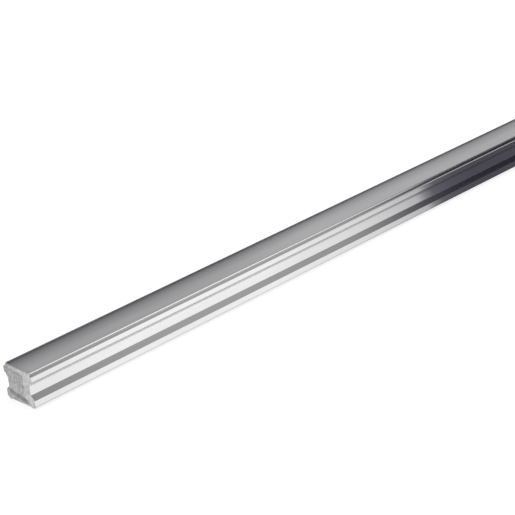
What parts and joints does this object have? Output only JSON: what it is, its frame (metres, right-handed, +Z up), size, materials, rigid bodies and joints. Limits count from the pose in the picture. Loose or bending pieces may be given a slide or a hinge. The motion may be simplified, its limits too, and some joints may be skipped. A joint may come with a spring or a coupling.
{
  "type": "linear guide rail",
  "caption": "Straight ground steel profile rail with ball tracks on both sides, counterbored from above for screws and closed by a clip-on cover strip that slides off along the rail.",
  "frame": {"origin": "middle of the face that is bolted down, under the middle of the rail's length", "axes": "+X along the rail, away from the end that the picture shows, +Z up through the cover strip, -Y out of the long side that the picture shows"},
  "size_m": [0.46, 0.02, 0.0175],
  "materials": {
    "ground_steel": "hardened steel, fine ground along its length, saw-cut ends",
    "strip_steel": "thin rolled stainless sheet, satin"
  },
  "bodies": {
    "rail": {"guide_rail": "ground_steel"},
    "strip": {"cover_strip": "strip_steel"}
  },
  "joints": [
    {"name": "strip_slide", "type": "slide", "parent": "rail", "child": "strip", "axis": [1, 0, 0], "range_m": [0, 0.447]}
  ]
}
